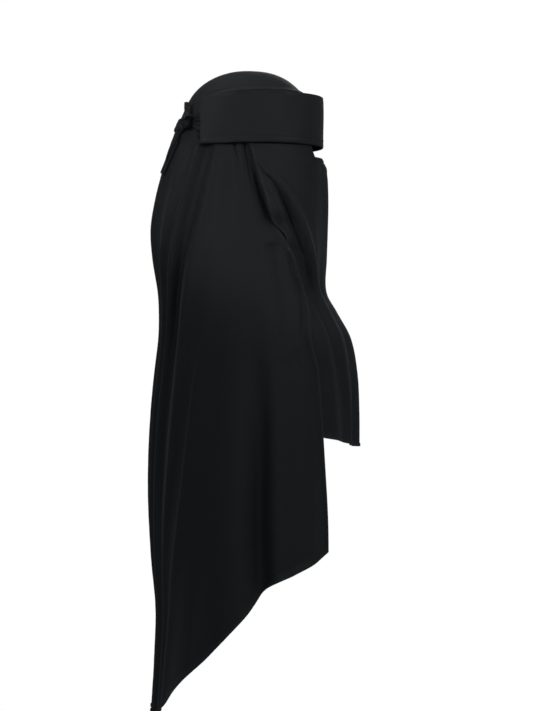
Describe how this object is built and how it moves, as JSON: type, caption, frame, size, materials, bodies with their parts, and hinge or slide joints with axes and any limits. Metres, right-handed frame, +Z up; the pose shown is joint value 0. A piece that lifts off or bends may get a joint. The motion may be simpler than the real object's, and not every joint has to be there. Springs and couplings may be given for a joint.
{
  "type": "headscarf with face veil",
  "caption": "Long chiffon headscarf in its worn form, with a face veil under an eye slit and a wide forehead band tied at the back of the head.",
  "frame": {"origin": "inside of the crown, where the top of the wearer's head bears on the scarf", "axes": "+Z up, the face looks along -Y, the wearer's right side is -X"},
  "size_m": [0.4926, 0.3165, 0.9565],
  "materials": {
    "scarf_chiffon": "matt black crepe chiffon",
    "face_veil_chiffon": "matt black crepe chiffon",
    "band_crepe": "smooth matt black crepe, two layers",
    "tie_crepe": "matt black crepe, gathered"
  },
  "bodies": {
    "root": {"head_scarf": "scarf_chiffon", "face_veil": "face_veil_chiffon", "forehead_band": "band_crepe", "tie_strap_right": "tie_crepe", "tie_strap_left": "tie_crepe", "back_knot": "tie_crepe", "tie_tail_long": "tie_crepe", "tie_tail_short": "tie_crepe"}
  },
  "joints": []
}
